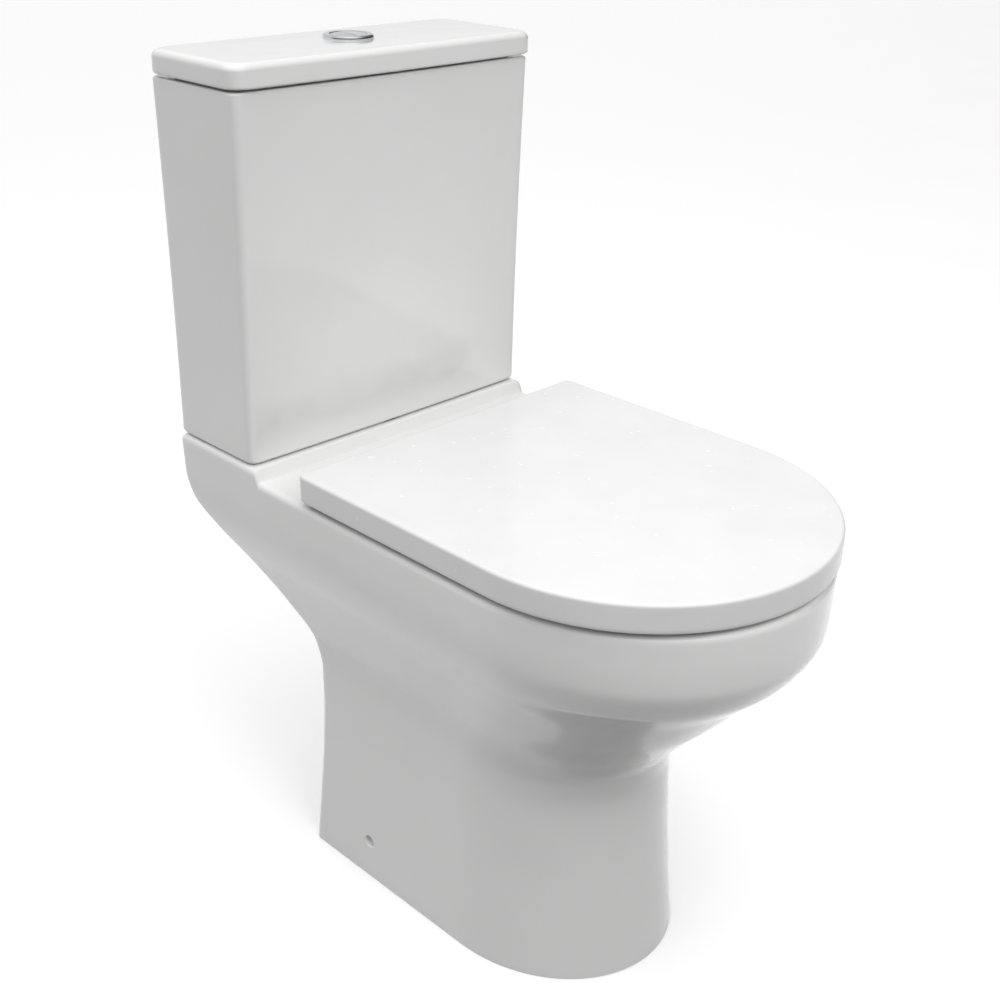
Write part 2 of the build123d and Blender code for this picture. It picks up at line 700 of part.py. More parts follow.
with BuildPart() as hinge_posts:
    for centre in post_centres():
        tube(centre, hinge_y, pan_height, pan_height + 3, 16)
        block(centre - post_half_width, centre + post_half_width, hinge_y - 5, hinge_y + 5,
              pan_height + 2, hinge_height)
        bar_along_x(centre - post_half_width, centre + post_half_width, hinge_y, hinge_height, post_reach)
        bar_along_x(centre - 20, centre + 20, hinge_y, hinge_height, pin_radius, mode=Mode.SUBTRACT)
        tube(centre, hinge_y, pan_height - 1, pan_height + 11, 3, mode=Mode.SUBTRACT)
finish(hinge_posts, "hinge_posts")

with BuildPart() as hinge_pins:
    for centre in post_centres():
        bar_along_x(centre - lug_in - 7, centre + lug_in + 7, hinge_y, hinge_height, pin_radius)
finish(hinge_pins, "hinge_pins")

with BuildPart() as hinge_studs:
    for centre in post_centres():
        tube(centre, hinge_y, 395, pan_height + 11, 3)
finish(hinge_studs, "hinge_studs")

with BuildPart() as hinge_bushes:
    for centre in post_centres():
        tube(centre, hinge_y, 440, pan_height, seat_hole_radius - 0.1, 3)
        tube(centre, hinge_y, 436, 440, 12, 3)
finish(hinge_bushes, "hinge_bushes")

with BuildPart() as hinge_nuts:
    for centre in post_centres():
        tube(centre, hinge_y, 422, 436, 9, 3)
        block(centre - 15, centre + 15, hinge_y - 2, hinge_y + 2, 422, 430)
        tube(centre, hinge_y, 421, 437, 3, mode=Mode.SUBTRACT)
finish(hinge_nuts, "hinge_nuts")
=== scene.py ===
"""Close coupled toilet: glazed china, seat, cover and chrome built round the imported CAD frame."""
import json
from math import acos, atan2, cos, pi, radians, sin, sqrt

import bmesh
import bpy
from mathutils import Matrix, Vector


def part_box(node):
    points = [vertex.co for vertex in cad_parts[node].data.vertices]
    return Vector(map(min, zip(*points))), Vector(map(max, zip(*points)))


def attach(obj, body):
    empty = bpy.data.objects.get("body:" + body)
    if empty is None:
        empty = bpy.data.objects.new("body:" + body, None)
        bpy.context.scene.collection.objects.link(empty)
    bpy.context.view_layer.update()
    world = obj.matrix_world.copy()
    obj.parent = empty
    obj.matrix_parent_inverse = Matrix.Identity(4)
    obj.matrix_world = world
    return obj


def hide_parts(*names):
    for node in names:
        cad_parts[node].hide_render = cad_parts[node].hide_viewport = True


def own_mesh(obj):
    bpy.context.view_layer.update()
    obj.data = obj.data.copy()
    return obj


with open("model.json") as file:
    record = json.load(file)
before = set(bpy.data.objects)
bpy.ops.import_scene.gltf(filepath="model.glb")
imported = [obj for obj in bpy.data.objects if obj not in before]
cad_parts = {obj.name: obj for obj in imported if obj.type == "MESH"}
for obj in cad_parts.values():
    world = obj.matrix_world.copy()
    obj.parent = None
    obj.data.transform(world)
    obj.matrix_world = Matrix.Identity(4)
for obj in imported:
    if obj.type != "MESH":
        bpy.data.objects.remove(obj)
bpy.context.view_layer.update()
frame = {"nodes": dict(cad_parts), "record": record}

MM = 0.001


# ------------------------------------------------------------------ the frame's own sizes, in mm
def span(node):
    """Lowest and highest corner of a CAD node, in millimetres."""
    low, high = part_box(node)
    return Vector(low) / MM, Vector(high) / MM


tank_low, tank_high = span("cistern_tank")
lid_low, lid_high = span("cistern_lid")
cover_low, cover_high = span("seat_cover")
ring_low, ring_high = span("seat_ring")
posts_high = span("hinge_posts")[1]
pins_low, pins_high = span("hinge_pins")
bezel_low, bezel_high = span("button_bezel")
button_low, button_high = span("full_flush_button")
shank_low, shank_high = span("fill_valve_body")

back = tank_high.y                          # the plane that the cistern backs onto
flush_y = (bezel_low.y + bezel_high.y) / 2
hinge_y = (pins_low.y + pins_high.y) / 2
hinge_z = (pins_low.z + pins_high.z) / 2
post_foot_radius = 16.0                     # the round foot is the widest part of a hinge post
hinge_x = posts_high.x - post_foot_radius
hinge_knuckle = 6.0                         # both the radius and half the width of an eye
hinge_bore = 3.05
inlet_x = (shank_low.x + shank_high.x) / 2
coupling_x = 82.0                           # the two bolts between cistern and pan
mounts = {mount["name"]: mount for mount in frame["record"]["mounts"]}


def from_wall(distance):
    return back - distance


# ------------------------------------------------------------------ mesh helpers
def new_object(name, mesh):
    piece = bpy.data.objects.new(name, mesh)
    bpy.context.scene.collection.objects.link(piece)
    return piece


def from_bmesh(name, bm):
    """A finished object, in metres, from a bmesh in millimetres."""
    bmesh.ops.recalc_face_normals(bm, faces=bm.faces)
    bmesh.ops.scale(bm, vec=(MM, MM, MM), verts=bm.verts)
    mesh = bpy.data.meshes.new(name)
    bm.to_mesh(mesh)
    bm.free()
    for polygon in mesh.polygons:
        polygon.use_smooth = True
    return new_object(name, mesh)


def skin(bm, rings, closed=False):
    """Quads between rings of equally many points; ends are capped unless the rings close."""
    loops = [[bm.verts.new(point) for point in ring] for ring in rings]
    count = len(rings[0])
    pairs = list(zip(loops, loops[1:]))
    if closed:
        pairs.append((loops[-1], loops[0]))
    for lower, upper in pairs:
        for i in range(count):
            j = (i + 1) % count
            bm.faces.new((lower[i], lower[j], upper[j], upper[i]))
    if not closed:
        bm.faces.new(loops[0])
        bm.faces.new(loops[-1])


def solid(name, rings, closed=False):
    bm = bmesh.new()
    skin(bm, rings, closed)
    return from_bmesh(name, bm)


def lathe(name, profile, centre, steps=96, axis="Z", closed=False):
    """A turned solid. profile is (radius, height) from one end of the axis to the other."""
    rings = []
    for radius, height in profile:
        ring = []
        for k in range(steps):
            angle = 2 * pi * k / steps
            u, v = radius * cos(angle), radius * sin(angle)
            point = {"Z": (u, v, height), "X": (height, u, v), "Y": (v, height, u)}[axis]
            ring.append(Vector(point) + Vector(centre))
        rings.append(ring)
    return solid(name, rings, closed)


def bevelled_box(name, low, high, bevel):
    """A block between two corners with rounded edges."""
    bm = bmesh.new()
    bmesh.ops.create_cube(bm, size=1)
    low, high = Vector(low), Vector(high)
    for vert in bm.verts:
        vert.co = Vector([(l + h) / 2 + c * (h - l) for l, h, c in zip(low, high, vert.co)])
    bmesh.ops.bevel(bm, geom=bm.edges[:], offset=bevel, segments=3, affect="EDGES", profile=0.5)
    return from_bmesh(name, bm)


def combine(piece, other, operation):
    """Boolean with a closed mesh, applied at once; the other mesh is used up."""
    modifier = piece.modifiers.new("cut", "BOOLEAN")
    modifier.object = other
    modifier.operation = operation
    modifier.solver = "EXACT"
    depsgraph = bpy.context.evaluated_depsgraph_get()
    mesh = bpy.data.meshes.new_from_object(piece.evaluated_get(depsgraph))
    piece.modifiers.clear()
    piece.data = mesh
    bpy.data.objects.remove(other)


def shade(piece, angle=35):
    """Smooth shading that keeps edges sharper than the angle."""
    mesh = piece.data
    for polygon in mesh.polygons:
        polygon.use_smooth = True
    bm = bmesh.new()
    bm.from_mesh(mesh)
    limit = radians(angle)
    for edge in bm.edges:
        edge.smooth = not (len(edge.link_faces) == 2 and edge.calc_face_angle(0) > limit)
    bm.to_mesh(mesh)
    bm.free()


def monotone_curve(knots, values, at):
    """A smooth curve through the values that never overshoots them (monotone cubic)."""
    steps = [(high - low) / (right - left)
             for left, right, low, high in zip(knots, knots[1:], values, values[1:])]
    slopes = [2 * a * b / (a + b) if a * b > 0 else 0.0 for a, b in zip(steps, steps[1:])]
    slopes = [steps[0], *slopes, steps[-1]]
    index = max([0] + [i for i in range(len(steps)) if knots[i] <= at])
    width = knots[index + 1] - knots[index]
    t = (at - knots[index]) / width
    return (values[index] * (1 + 2 * t) * (1 - t) ** 2 + values[index + 1] * t * t * (3 - 2 * t)
            + width * (slopes[index] * t * (1 - t) ** 2 - slopes[index + 1] * t * t * (1 - t)))


def smoothstep(t):
    t = min(1.0, max(0.0, t))
    return t * t * (3 - 2 * t)


# ------------------------------------------------------------------ outlines
def d_ring(half_width, rear, nose_end, nose, corner, z, detail=1.0):
    """Points round a D: nose to the front, then the right side, the back and the left side."""
    y_back, y_nose = from_wall(rear), from_wall(nose_end - nose)
    arc, side, bend, rear_count = (round(n * detail) for n in (96, 56, 8, 30))
    points = []
    for k in range(arc):
        angle = pi + pi * k / arc
        points.append((half_width * cos(angle), y_nose + nose * sin(angle)))
    for k in range(side):
        points.append((half_width, y_nose + (y_back - corner - y_nose) * k / side))
    for k in range(bend):
        angle = pi / 2 * k / bend
        points.append((half_width - corner + corner * cos(angle), y_back - corner + corner * sin(angle)))
    for k in range(rear_count):
        points.append(((half_width - corner) * (1 - 2 * k / rear_count), y_back))
    for k in range(bend):
        angle = pi / 2 + pi / 2 * k / bend
        points.append((corner - half_width + corner * cos(angle), y_back - corner + corner * sin(angle)))
    for k in range(side):
        points.append((-half_width, y_back - corner + (y_nose - y_back + corner) * k / side))
    return [Vector((x, y, z)) for x, y in points]


def box_ring(half_width, rear, face, corner, bow, z):
    """Points round a box with rounded corners and a bowed front."""
    y_back, y_face = from_wall(rear), from_wall(face) + bow
    long_count, side, bend = 48, 20, 10
    points = []
    for k in range(long_count + 1):
        t = 2 * k / long_count - 1
        points.append((t * (half_width - corner), y_face - bow * (1 - t * t)))
    for k in range(1, bend):
        angle = -pi / 2 + pi / 2 * k / bend
        points.append((half_width - corner + corner * cos(angle), y_face + corner + corner * sin(angle)))
    for k in range(side + 1):
        points.append((half_width, y_face + corner + (y_back - y_face - 2 * corner) * k / side))
    for k in range(1, bend):
        angle = pi / 2 * k / bend
        points.append((half_width - corner + corner * cos(angle), y_back - corner + corner * sin(angle)))
    for k in range(long_count + 1):
        points.append(((half_width - corner) * (1 - 2 * k / long_count), y_back))
    for k in range(1, bend):
        angle = pi / 2 + pi / 2 * k / bend
        points.append((corner - half_width + corner * cos(angle), y_back - corner + corner * sin(angle)))
    for k in range(side + 1):
        points.append((-half_width, y_back - corner - (y_back - y_face - 2 * corner) * k / side))
    for k in range(1, bend):
        angle = pi + pi / 2 * k / bend
        points.append((corner - half_width + corner * cos(angle), y_face + corner + corner * sin(angle)))
    return [Vector((x, y, z)) for x, y in points]


def shrink(ring, centre, factor, z=None):
    """The ring drawn towards a centre point in plan, at its own height or at height z."""
    out = []
    for point in ring:
        moved = Vector((centre[0] + (point.x - centre[0]) * factor,
                        centre[1] + (point.y - centre[1]) * factor, point.z if z is None else z))
        out.append(moved)
    return out


def ellipse_ring(half_width, rear, nose_end, z, count=160):
    y_mid, half_length = from_wall((rear + nose_end) / 2), (nose_end - rear) / 2
    return [Vector((half_width * cos(2 * pi * k / count), y_mid + half_length * sin(2 * pi * k / count), z))
            for k in range(count)]


# ------------------------------------------------------------------ pan
pan_sections = [            # height, half width, rear, front, nose depth
    (0, 121, 116, 492, 142),
    (70, 119, 123, 484, 140),
    (140, 118, 130, 478, 138),
    (195, 118, 133, 475, 137),
    (225, 118, 133, 481, 141),
    (260, 122, 129, 506, 149),
    (300, 135, 104, 542, 160),
    (340, 151, 67, 576, 174),
    (375, 167, 30, 608, 188),
    (400, 175, 8, 619, 197),
    (425, 178, 1, 620, 200),
    (454, 179, 0, 620, 200),
]
pan_top = pan_sections[-1][0]
pan_nodes = [node for node in frame["nodes"] if node.startswith("pan")]
platform_top = max(span(node)[1].z for node in pan_nodes)
wall = 11.0
bowl_sections = [           # height, half width, rear, front
    (110, 34, 262, 330),
    (160, 40, 250, 352),
    (220, 58, 244, 410),
    (290, 88, 244, 502),
    (360, 112, 246, 556),
    (410, 121, 250, 570),
    (455, 122, 252, 572),
]


def arc(centre, radius, start, end, steps=14):
    """Points on an arc in the middle plane, as (distance from the wall, height)."""
    angles = [radians(start + (end - start) * k / steps) for k in range(steps + 1)]
    return [(centre[0] + radius * cos(a), centre[1] + radius * sin(a)) for a in angles]


def trap_route():
    """From the sump, up over the weir and down an S bend to the soil outlet."""
    outlet_z = mounts["soil_outlet"]["pos_m"][2] / MM
    bend, weir = 52.0, 232.0
    sump_start, sump_end, sump_z = 306, 268, 118
    middle = sump_end - 2 * bend
    route = [(sump_start, sump_z), (sump_end, sump_z)]
    route += arc((sump_end, sump_z + bend), bend, 270, 180)[1:]
    route += arc((middle, weir - bend), bend, 0, 90)
    drop = weir - outlet_z
    turn = acos(1 - drop / (2 * bend))
    route += arc((middle, weir - bend), bend, 90, 90 + turn * 180 / pi)[1:]
    last = (middle - 2 * bend * sin(turn), outlet_z + bend)
    route += arc(last, bend, 270 + turn * 180 / pi, 270)[1:]
    return route


def at_height(sections, height):
    heights, *columns = zip(*sections)
    return [monotone_curve(heights, column, height) for column in columns]


def pan_outside():
    """The outer form as one closed skin, with its rounded rim, seat deck and cistern platform."""
    rings = []
    rounding = 6.0
    foot_round = 1.5
    for k in range(4):
        angle = pi / 2 * k / 4
        inset = foot_round * (1 - sin(angle))
        section = at_height(pan_sections, 0)
        rings.append(d_ring(section[0] - inset, section[1] + inset, section[2] - inset,
                            section[3] - inset, 8, foot_round * (1 - cos(angle))))
    slices = 110
    for k in range(slices + 1):
        height = foot_round + (pan_top - rounding - foot_round) * k / slices
        rings.append(d_ring(*at_height(pan_sections, height), 8, height))
    section = at_height(pan_sections, pan_top - rounding)
    for k in range(1, 9):
        angle = pi / 2 * k / 8
        inset = rounding * (1 - cos(angle))
        rings.append(d_ring(section[0] - inset, section[1] + inset, section[2] - inset,
                            section[3] - inset, 8, pan_top - rounding + rounding * sin(angle)))
    centre = (0, from_wall(300))
    last = rings[-1]
    for k in range(1, 60):
        rings.append(shrink(last, centre, 1 - k / 60))
    bm = bmesh.new()
    skin(bm, rings)
    # the step up to the cistern platform, on edges of its own
    step_front, step_depth, blend_low = 132.0, 8.0, 425.0
    for k in range(11):
        bmesh.ops.bisect_plane(bm, geom=bm.verts[:] + bm.edges[:] + bm.faces[:], plane_no=(0, 1, 0),
                               plane_co=(0, from_wall(step_front - step_depth * k / 10), 0))
    for vert in bm.verts:
        rise = smoothstep((step_front - back + vert.co.y) / step_depth)
        share = smoothstep((vert.co.z - blend_low) / (pan_top - blend_low - rounding))
        vert.co.z += (platform_top - pan_top) * rise * share
    return from_bmesh("pan_china", bm)


def pan_hollow():
    """The space inside the pedestal, open to the floor and to the wall."""
    rings = []
    heights = [-2] + [pan_sections[0][0] + k * 11 for k in range(1, 40)] + [pan_top - 14]
    for height in heights:
        half_width, rear, nose_end, nose = at_height(pan_sections, max(0, height))
        rings.append(d_ring(half_width - wall, rear - 40, nose_end - wall, nose - wall, 8, height, 0.5))
    return solid("hollow", rings)


def bowl(margin, lip):
    """The bowl's form, grown by a margin; with a lip it flares at the rim."""
    rings = []
    low = bowl_sections[0][0] - margin
    top = pan_top + (12 if lip else 0)
    count = 70
    for k in range(count + 1):
        height = low + (top - low) * k / count
        half_width, rear, nose_end = at_height(bowl_sections, min(max(height, 110), pan_top))
        flare = 0.0
        if lip and height > pan_top - 8:
            t = min(1.0, (height - pan_top + 8) / 8)
            flare = 7 * (1 - sqrt(max(0.0, 1 - t * t)))
        close = 1 - max(0.0, 1 - (height - low) / 18) ** 2 * 0.75
        ring = ellipse_ring(half_width + margin + flare, rear - margin - flare,
                            nose_end + margin + flare, height)
        middle = from_wall((rear + nose_end) / 2)
        rings.append(shrink(ring, (0, middle), close))
    return solid("bowl", rings)


def pipe(name, route, radius, steps=48):
    """A round passage along a smooth route in the middle plane; route is (distance, height)."""
    places = [Vector((0, from_wall(distance), height)) for distance, height in route]
    rings = []
    for index, place in enumerate(places):
        before, after = places[max(0, index - 1)], places[min(len(places) - 1, index + 1)]
        along = (after - before).normalized()
        across = Vector((1, 0, 0)).cross(along)
        rings.append([place + radius * (cos(2 * pi * k / steps) * Vector((1, 0, 0))
                                        + sin(2 * pi * k / steps) * across) for k in range(steps)])
    return solid(name, rings)


def cylinder(x, y, low, high, radius, steps=64):
    return lathe("cylinder", [(radius, low), (radius, high)], (x, y, 0), steps)


def make_pan():
    """The china casting: outer form, hollow foot, bowl, flush channel, trap, spigot and holes."""
    below, above = 400, platform_top + 9        # ends of the cutters through the deck
    pan = pan_outside()
    combine(pan, pan_hollow(), "DIFFERENCE")
    combine(pan, bowl(wall, lip=False), "UNION")
    combine(pan, bevelled_box("channel", (-46, from_wall(280), 392), (46, from_wall(18), 446), 8), "UNION")
    route = trap_route()
    combine(pan, pipe("trap", route, 40), "UNION")
    outlet_z = mounts["soil_outlet"]["pos_m"][2] / MM
    spigot = lathe("spigot", [(44, from_wall(146)), (51, from_wall(130)), (51, from_wall(90)),
                              (49.5, from_wall(85)), (47, from_wall(84))], (0, 0, outlet_z), 96, "Y")
    combine(pan, spigot, "UNION")
    combine(pan, bowl(0, lip=True), "DIFFERENCE")
    combine(pan, pipe("trap_bore", route[:-2], 31), "DIFFERENCE")
    bore = lathe("bore", [(30, from_wall(136)), (42, from_wall(124)), (42, from_wall(70))],
                 (0, 0, outlet_z), 80, "Y")
    combine(pan, bore, "DIFFERENCE")
    combine(pan, bevelled_box("channel_bore", (-36, from_wall(290), 402), (36, from_wall(28), 434), 6),
            "DIFFERENCE")
    inlet_radius, seat_radius, seat_mouth = 34, 52, 54
    inlet = lathe("inlet", [(inlet_radius, 415), (inlet_radius, platform_top - 22),
                            (seat_radius, platform_top - 21.9), (seat_radius, platform_top - 2),
                            (seat_mouth, platform_top + 0.5), (seat_mouth, above)],
                  (0, flush_y, 0), 96)
    combine(pan, inlet, "DIFFERENCE")
    fixing = mounts["floor_fixing_left"]
    fixing_y, fixing_z = fixing["pos_m"][1] / MM, fixing["pos_m"][2] / MM
    for side in (-1, 1):
        combine(pan, cylinder(side * coupling_x, flush_y, below, above, 6), "DIFFERENCE")
        combine(pan, cylinder(side * inlet_x, flush_y, below, above, 22), "DIFFERENCE")
        combine(pan, cylinder(side * hinge_x, hinge_y, below, above, 7), "DIFFERENCE")
        hole = lathe("hole", [(6, 90 * side), (6, 118.6 * side), (8.5, 121 * side), (8.5, 140 * side)],
                     (0, fixing_y, fixing_z), 48, "X")
        combine(pan, hole, "DIFFERENCE")
    shade(pan, 32)
    return pan


# ------------------------------------------------------------------ cistern
def tank_outline(t, margin, z):
    """The tank's outline at a fraction of its height, drawn in by a margin."""
    waist = 1.1 * sin(pi * t)
    half_width = 176.5 + 0.5 * t - waist - margin
    face = 121.5 + 10.5 * t - 0.6 * waist - margin
    return box_ring(half_width, margin, face, 9.0, 1.5 + 1.5 * t, z)


def make_tank():
    """The open-topped tank, skinned up its outside, over its lip and down its inside."""
    low, high = tank_low.z, tank_high.z
    floor, thick = 12.0, 10.0
    foot_round, lip_round, cove = 5.0, 2.5, 10.0
    rings = []
    for k in range(8):
        angle = pi / 2 * k / 7
        rings.append(tank_outline(0, foot_round * (1 - sin(angle)), low + foot_round * (1 - cos(angle))))
    for k in range(1, 40):
        t = k / 40
        rings.append(tank_outline(t, 0, low + foot_round + (high - lip_round - low - foot_round) * t))
    for k in range(7):
        angle = pi / 2 * k / 6
        rings.append(tank_outline(1, lip_round * (1 - cos(angle)), high - lip_round + lip_round * sin(angle)))
    for k in range(7):
        angle = pi / 2 * k / 6
        rings.append(tank_outline(1, thick - lip_round * (1 - sin(angle)),
                                  high - lip_round * (1 - cos(angle))))
    for k in range(1, 30):
        t = 1 - k / 30
        rings.append(tank_outline(t, thick, low + floor + cove + (high - lip_round - low - floor - cove) * t))
    for k in range(7):
        angle = pi / 2 * k / 6
        rings.append(tank_outline(0, thick + cove * (1 - cos(angle)), low + floor + cove * (1 - sin(angle))))
    tank = solid("cistern_tank_china", rings)
    fixings = mounts["cistern_wall_fixings"]
    screw_x = fixings["dims"]["spacing_x_mm"] / 2
    screw_z = fixings["pos_m"][2] / MM
    below, above = low - 5, low + 40            # ends of the cutters through the floor
    combine(tank, cylinder(0, flush_y, below, above, 31.5), "DIFFERENCE")
    combine(tank, cylinder(inlet_x, flush_y, below, above, 11.5), "DIFFERENCE")
    for side in (-1, 1):
        combine(tank, cylinder(side * coupling_x, flush_y, below, above, 5), "DIFFERENCE")
        hole = lathe("hole", [(4, back - 20), (4, back - 1.5), (5.5, back), (5.5, back + 6)],
                     (side * screw_x, 0, screw_z), 32, "Y")
        combine(tank, hole, "DIFFERENCE")
    shade(tank, 32)
    return tank


def make_lid():
    """The lid: a rounded slab with a faintly crowned top and a locating rib below."""
    low, high = lid_low, lid_high
    skirt = tank_high.z + 2.5
    half_width, face, corner, bow = high.x, back - low.y, 16.0, 3.0
    lower_round, upper_round, crown = 2.5, 7.0, 0.5
    rings = []

    def outline(margin, z):
        return box_ring(half_width - margin, margin, face - margin, corner, bow, z)

    for k in range(7):
        angle = pi / 2 * k / 6
        rings.append(outline(lower_round * (1 - sin(angle)), skirt + lower_round * (1 - cos(angle))))
    shoulder = high.z - upper_round - crown
    for k in range(1, 6):
        rings.append(outline(0, skirt + lower_round + (shoulder - skirt - lower_round) * k / 6))
    for k in range(11):
        angle = pi / 2 * k / 10
        rings.append(outline(upper_round * (1 - cos(angle)), shoulder + upper_round * sin(angle)))
    flat = rings[-1]
    for k in range(1, 24):
        t = k / 24
        rings.append(shrink(flat, (0, from_wall(face / 2)), 1 - t,
                            high.z - crown + crown * smoothstep(t * 1.6)))
    bottom = []                                 # the rib's outside, its foot and the ceiling inside it
    for margin, z in ((13.2, skirt), (13.2, skirt - 10), (14.5, low.z), (18.5, low.z), (19.8, skirt - 10),
                      (20, skirt + 8), (24, skirt + 12)):
        bottom.append(box_ring(half_width - 3.3 - margin, margin, face - 4.8 - margin, 8, 1.0, z))
    rings = bottom[::-1] + rings
    lid = solid("cistern_lid_china", rings)
    combine(lid, cylinder(0, flush_y, low.z - 8, high.z + 8, 20, 96), "DIFFERENCE")
    shade(lid, 32)
    return lid


# ------------------------------------------------------------------ seat and cover
def hinge_eye(x):
    return lathe("eye", [(5.2, x - hinge_knuckle), (hinge_knuckle, x - 5.2), (hinge_knuckle, x + 5.2),
                         (5.2, x + hinge_knuckle)], (0, hinge_y, hinge_z), 48, "X")


def hinge_hole(x):
    return lathe("bore", [(hinge_bore, x - 8), (hinge_bore, x + 8)], (0, hinge_y, hinge_z), 48, "X")


def make_cover():
    """The cover: a shallow shell with a skirt, a faintly crowned top and two hinge eyes."""
    low, high = cover_low, cover_high
    rear, thickness, plate, nose = back - high.y, 4.2, 4.8, 184.0
    half_width, nose_end, edge = high.x, back - low.y, 3.2
    inner_round, foot_round, crown = 3, 1, 0.5
    centre = (0, from_wall(400))
    rings = []

    def outline(margin, z, corner=7.0):
        return d_ring(half_width - margin, rear + margin, nose_end - margin, nose - margin,
                      max(2.0, corner - margin), z)

    ceiling = high.z - plate
    for k in range(20):
        rings.append(shrink(outline(thickness + inner_round, ceiling), centre, (k + 1) / 20))
    for k in range(1, 6):
        angle = pi / 2 * k / 5
        rings.append(outline(thickness + inner_round * (1 - sin(angle)),
                             ceiling - inner_round * (1 - cos(angle))))
    for k in range(1, 5):
        rings.append(outline(thickness, ceiling - inner_round
                             - (ceiling - inner_round - low.z - foot_round) * k / 4))
    for k in range(7):
        angle = pi * k / 6
        rings.append(outline(thickness / 2 * (1 + cos(angle)), low.z + foot_round - foot_round * sin(angle)))
    for k in range(1, 8):
        rings.append(outline(0, low.z + foot_round + (high.z - edge - crown - low.z - foot_round) * k / 7))
    for k in range(1, 10):
        angle = pi / 2 * k / 9
        rings.append(outline(edge * (1 - cos(angle)), high.z - edge - crown + edge * sin(angle)))
    top = rings[-1]
    for k in range(1, 40):
        t = k / 40
        rings.append(shrink(top, centre, 1 - t, high.z - crown + crown * smoothstep(t * 2)))
    cover = solid("seat_cover_shell", rings)
    for side in (-1, 1):
        post = side * hinge_x
        notch = bevelled_box("notch", (post - 32, hinge_y - 0.5, low.z - 6),
                             (post + 32, high.y + 6, ceiling - 0.01), 1.2)
        combine(cover, notch, "DIFFERENCE")
        inner = post - side * 24
        web = bevelled_box("web", (inner - hinge_knuckle, hinge_y - 5, hinge_z),
                           (inner + hinge_knuckle, hinge_y + 3, ceiling + 1), 0.8)
        combine(cover, web, "UNION")
        combine(cover, hinge_eye(inner), "UNION")
        combine(cover, hinge_hole(inner), "DIFFERENCE")
    shade(cover, 35)
    return cover


def make_seat():
    """The seat ring, between its D-shaped outline and its oval opening, with two hinge arms."""
    low, high = ring_low, ring_high
    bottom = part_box("seat_bumpers")[1][2] / MM
    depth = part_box("cover_bumpers")[0][2] / MM - bottom
    half_width, rear, nose_end, nose = high.x, 222.0, back - low.y, 178.5
    outer = d_ring(half_width, rear, nose_end, nose, 12, 0)
    centre = Vector((0, from_wall(412), 0))
    inner = []
    for point in outer:
        angle = atan2((point.y - centre.y) / 196.0, point.x / 174.5)
        inner.append(Vector((107 * cos(angle), centre.y + 143 * sin(angle), 0)))
    edge, foot_round, crown = 5.5, 1.5, 1.2
    crest, drop = 0.9, 10.0                     # where the top turns down to the opening, and how far
    rings = []
    for k in range(7):
        angle = pi / 2 * k / 6
        rings.append(ring_between(outer, inner, foot_round * (1 - sin(angle)), 0.0,
                                  bottom + foot_round * (1 - cos(angle))))
    for k in range(9):
        angle = pi / 2 * k / 8
        rings.append(ring_between(outer, inner, edge * (1 - cos(angle)), 0.0,
                                  bottom + (depth - crown - edge + edge * sin(angle))))
    for k in range(1, 15):
        t = k / 15
        height = depth - crown + crown * sin(pi * min(1, 1.25 * t) / 1.25 * 0.98)
        rings.append(ring_between(outer, inner, edge, t * crest, bottom + height))
    for k in range(9):
        angle = pi / 2 * k / 8
        rings.append(ring_between(outer, inner, edge, crest + (1 - crest) * sin(angle),
                                  bottom + depth - 1.0 - drop * (1 - cos(angle))))
    for k in range(7):
        angle = pi / 2 * k / 6
        rings.append(ring_between(outer, inner, edge, 1 - 0.02 * (1 - cos(angle)),
                                  bottom + foot_round - foot_round * sin(angle)))
    for k in range(1, 8):
        rings.append(ring_between(outer, inner, foot_round, 0.98 - 0.98 * k / 8, bottom))
    seat = solid("seat_ring_moulding", rings, closed=True)
    for side in (-1, 1):
        outer_x = side * (hinge_x + 24)
        arm = bevelled_box("arm", (outer_x - hinge_knuckle, from_wall(232), hinge_z - hinge_knuckle),
                           (outer_x + hinge_knuckle, hinge_y - 2, hinge_z + 3), 1.0)
        combine(seat, arm, "UNION")
        combine(seat, hinge_eye(outer_x), "UNION")
        combine(seat, hinge_hole(outer_x), "DIFFERENCE")
    shade(seat, 35)
    return seat


def ring_between(outer, inner, inset, t, z):
    """A ring between the seat's outer and inner outlines, t from 0 at the outer, less an inset."""
    points = []
    for a, b in zip(outer, inner):
        inward = (b - a).normalized()
        start = a + inward * inset
        points.append(Vector((start.x + (b.x - start.x) * t, start.y + (b.y - start.y) * t, z)))
    return points


# ------------------------------------------------------------------ chrome dual flush button
def make_bezel():
    """The ring on the lid, with its barrel and the barrel's floor, which guides the push rods."""
    top, low = bezel_high.z, bezel_low.z
    seat = lid_high.z
    barrel, well, ring, dome = 19.3, 17.5, 24, 2.6
    profile = [(barrel, low), (barrel, seat - 0.2), (ring - 0.4, seat - 0.2), (ring, seat + 0.4)]
    for k in range(9):
        angle = pi / 2 * k / 8
        profile.append((ring - dome * (1 - cos(angle)), seat + 1.4 + dome * sin(angle)))
    profile += [(18.6, top), (17.9, top - 0.3), (well, top - 1.0), (well, low + 3)]
    profile += [(0.4, low + 3), (0.4, low)]
    bezel = lathe("button_bezel_ring", profile, (0, flush_y, 0), 128, closed=True)
    for side in (-1, 1):
        combine(bezel, cylinder(side * 10, flush_y, low - 3, low + 6, 2.8, 32), "DIFFERENCE")
    shade(bezel, 35)
    return bezel


